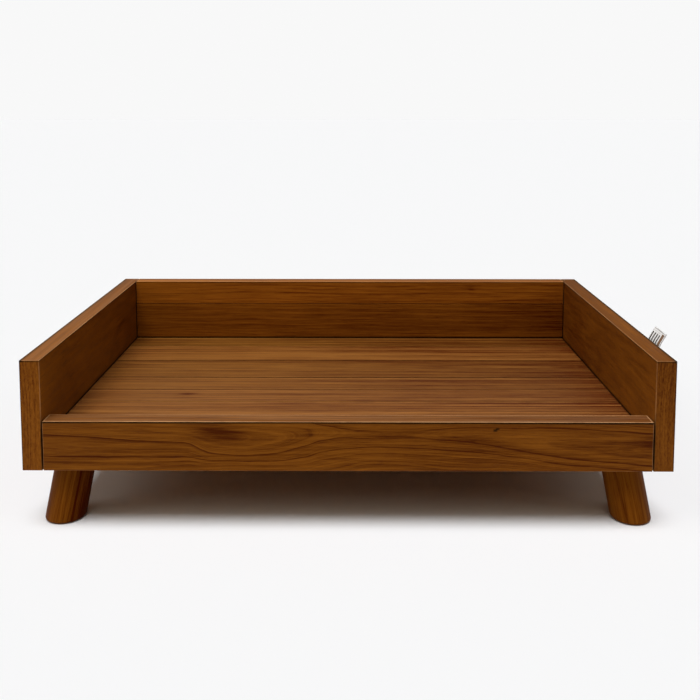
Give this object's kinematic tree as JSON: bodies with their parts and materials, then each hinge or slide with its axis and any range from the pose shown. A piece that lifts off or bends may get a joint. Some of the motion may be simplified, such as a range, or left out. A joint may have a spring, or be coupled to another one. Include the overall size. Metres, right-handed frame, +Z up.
{
  "type": "dog bed frame",
  "caption": "Raised wooden dog bed: plank deck between side panels, a tall back and a low front rail, on splayed round legs.",
  "frame": {"origin": "on the floor, under the middle of the frame", "axes": "+X to the right along the front rail, +Y from the open front to the back, +Z up"},
  "size_m": [0.909, 0.55, 0.2525],
  "materials": {
    "panel_wood": "satin stained, long grain along the panel's length",
    "back_wood": "satin stained, long grain",
    "rail_wood": "satin stained, cathedral grain",
    "deck_wood": "satin stained, straight grain",
    "leg_wood": "satin stained, turned",
    "support_wood": "stained, plain sawn",
    "dowel_wood": "bare beech",
    "steel": "zinc plated",
    "brass": "plain",
    "felt": "pressed felt",
    "label_fabric": "woven tape with plain printed bars"
  },
  "bodies": {
    "root": {"left_side_panel": "panel_wood", "right_side_panel": "panel_wood", "back_board_lower": "back_wood", "back_board_upper": "back_wood", "front_rail": "rail_wood", "deck_board_1": "deck_wood", "deck_board_2": "deck_wood", "deck_board_3": "deck_wood", "deck_board_4": "deck_wood", "deck_board_5": "deck_wood", "deck_board_6": "deck_wood", "deck_board_7": "deck_wood", "left_cleat": "support_wood", "right_cleat": "support_wood", "front_cleat": "support_wood", "back_cleat": "support_wood", "left_batten": "support_wood", "right_batten": "support_wood", "front_left_corner_block": "support_wood", "front_left_leg": "leg_wood", "front_left_glide": "felt", "front_left_hanger_bolt": "steel", "front_left_threaded_insert": "brass", "front_left_block_screw_inner": "steel", "front_left_block_screw_outer": "steel", "front_right_corner_block": "support_wood", "front_right_leg": "leg_wood", "front_right_glide": "felt", "front_right_hanger_bolt": "steel", "front_right_threaded_insert": "brass", "front_right_block_screw_inner": "steel", "front_right_block_screw_outer": "steel", "back_left_corner_block": "support_wood", "back_left_leg": "leg_wood", "back_left_glide": "felt", "back_left_hanger_bolt": "steel", "back_left_threaded_insert": "brass", "back_left_block_screw_inner": "steel", "back_left_block_screw_outer": "steel", "back_right_corner_block": "support_wood", "back_right_leg": "leg_wood", "back_right_glide": "felt", "back_right_hanger_bolt": "steel", "back_right_threaded_insert": "brass", "back_right_block_screw_inner": "steel", "back_right_block_screw_outer": "steel", "rail_dowel_left_lower": "dowel_wood", "rail_dowel_left_upper": "dowel_wood", "back_dowel_left_lower": "dowel_wood", "back_dowel_left_middle": "dowel_wood", "back_dowel_left_upper": "dowel_wood", "rail_dowel_right_lower": "dowel_wood", "rail_dowel_right_upper": "dowel_wood", "back_dowel_right_lower": "dowel_wood", "back_dowel_right_middle": "dowel_wood", "back_dowel_right_upper": "dowel_wood", "side_label": "label_fabric", "label_staple": "steel"}
  },
  "joints": []
}
